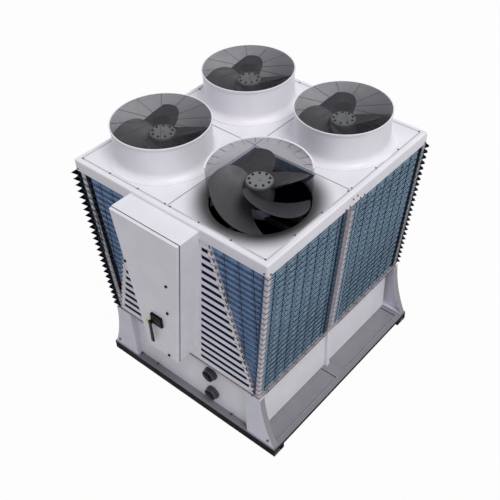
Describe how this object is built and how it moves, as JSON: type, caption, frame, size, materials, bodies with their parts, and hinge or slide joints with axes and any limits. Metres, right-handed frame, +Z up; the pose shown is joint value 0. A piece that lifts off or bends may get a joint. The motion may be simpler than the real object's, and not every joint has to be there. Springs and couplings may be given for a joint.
{
  "type": "modular air-cooled water chiller",
  "caption": "Air-cooled water chiller: leaning finned coils under a flat deck of axial fans in round stacks, on a narrower machine base with a tapered control cabinet.",
  "frame": {"origin": "centre of the four anchor holes in the skid, on the underside", "axes": "+X to the right along the front, +Y from front to back, +Z up"},
  "size_m": [1.9698, 2.23, 2.43],
  "materials": {
    "skid_enamel": "matte",
    "grey_sheet": "satin",
    "white_enamel": "satin",
    "coil_fins": "fine fins, satin",
    "coil_end": "mottled, dull",
    "guard_wire": "coated wire",
    "fan_plastic": "moulded",
    "motor_paint": "satin",
    "pan_steel": "dull",
    "black_plastic": "moulded",
    "yellow_plastic": "moulded",
    "rubber": "matte",
    "clear_wall": "clear, faintly tinted",
    "pipe_steel": "satin"
  },
  "bodies": {
    "housing": {"base_frame": "skid_enamel", "corner_pads": "rubber", "base_pan": "grey_sheet", "legs": "white_enamel", "lower_panel_front": "white_enamel", "lower_panel_back": "white_enamel", "lower_side_panels": "white_enamel", "side_struts": "white_enamel", "waist_frame": "white_enamel", "drain_pan": "pan_steel", "coil_right": "coil_fins", "coil_left": "coil_fins", "corner_posts": "white_enamel", "centre_posts": "coil_end", "diagonal_strips": "white_enamel", "louvre_panels": "white_enamel", "middle_panels": "white_enamel", "side_guards": "guard_wire", "end_guards": "guard_wire", "tooth_plates": "black_plastic", "deck_frame": "white_enamel", "fan_motors": "motor_paint", "control_cabinet": "white_enamel", "cabinet_cover": "white_enamel", "cover_locks": "black_plastic", "isolator_plate": "black_plastic", "selector_disc": "yellow_plastic", "water_outlet": "pipe_steel", "water_inlet": "pipe_steel", "deck_panel_front_left": "white_enamel", "fan_stack_front_left": "white_enamel", "fan_grille_front_left": "guard_wire", "deck_panel_front_right": "white_enamel", "fan_stack_front_right": "clear_wall", "stack_rim_front_right": "white_enamel", "deck_panel_back_left": "white_enamel", "fan_stack_back_left": "white_enamel", "fan_grille_back_left": "guard_wire", "deck_panel_back_right": "white_enamel", "fan_stack_back_right": "white_enamel", "fan_grille_back_right": "guard_wire"},
    "rotor_front_left": {"fan_front_left": "fan_plastic"},
    "rotor_front_right": {"fan_front_right": "fan_plastic"},
    "rotor_back_left": {"fan_back_left": "fan_plastic"},
    "rotor_back_right": {"fan_back_right": "fan_plastic"},
    "lever": {"isolator_lever": "black_plastic"}
  },
  "joints": [
    {"name": "spin_front_left", "type": "hinge", "parent": "housing", "child": "rotor_front_left", "pos_m": [-0.475, -0.49, 2.27], "axis": [0, 0, 1], "continuous": true},
    {"name": "spin_front_right", "type": "hinge", "parent": "housing", "child": "rotor_front_right", "pos_m": [0.475, -0.49, 2.27], "axis": [0, 0, 1], "continuous": true},
    {"name": "spin_back_left", "type": "hinge", "parent": "housing", "child": "rotor_back_left", "pos_m": [-0.475, 0.49, 2.27], "axis": [0, 0, 1], "continuous": true},
    {"name": "spin_back_right", "type": "hinge", "parent": "housing", "child": "rotor_back_right", "pos_m": [0.475, 0.49, 2.27], "axis": [0, 0, 1], "continuous": true},
    {"name": "lever_turn", "type": "hinge", "parent": "housing", "child": "lever", "pos_m": [-0.06, -1.216, 1.138], "axis": [0, -1, 0], "range_deg": [0, 90]}
  ]
}
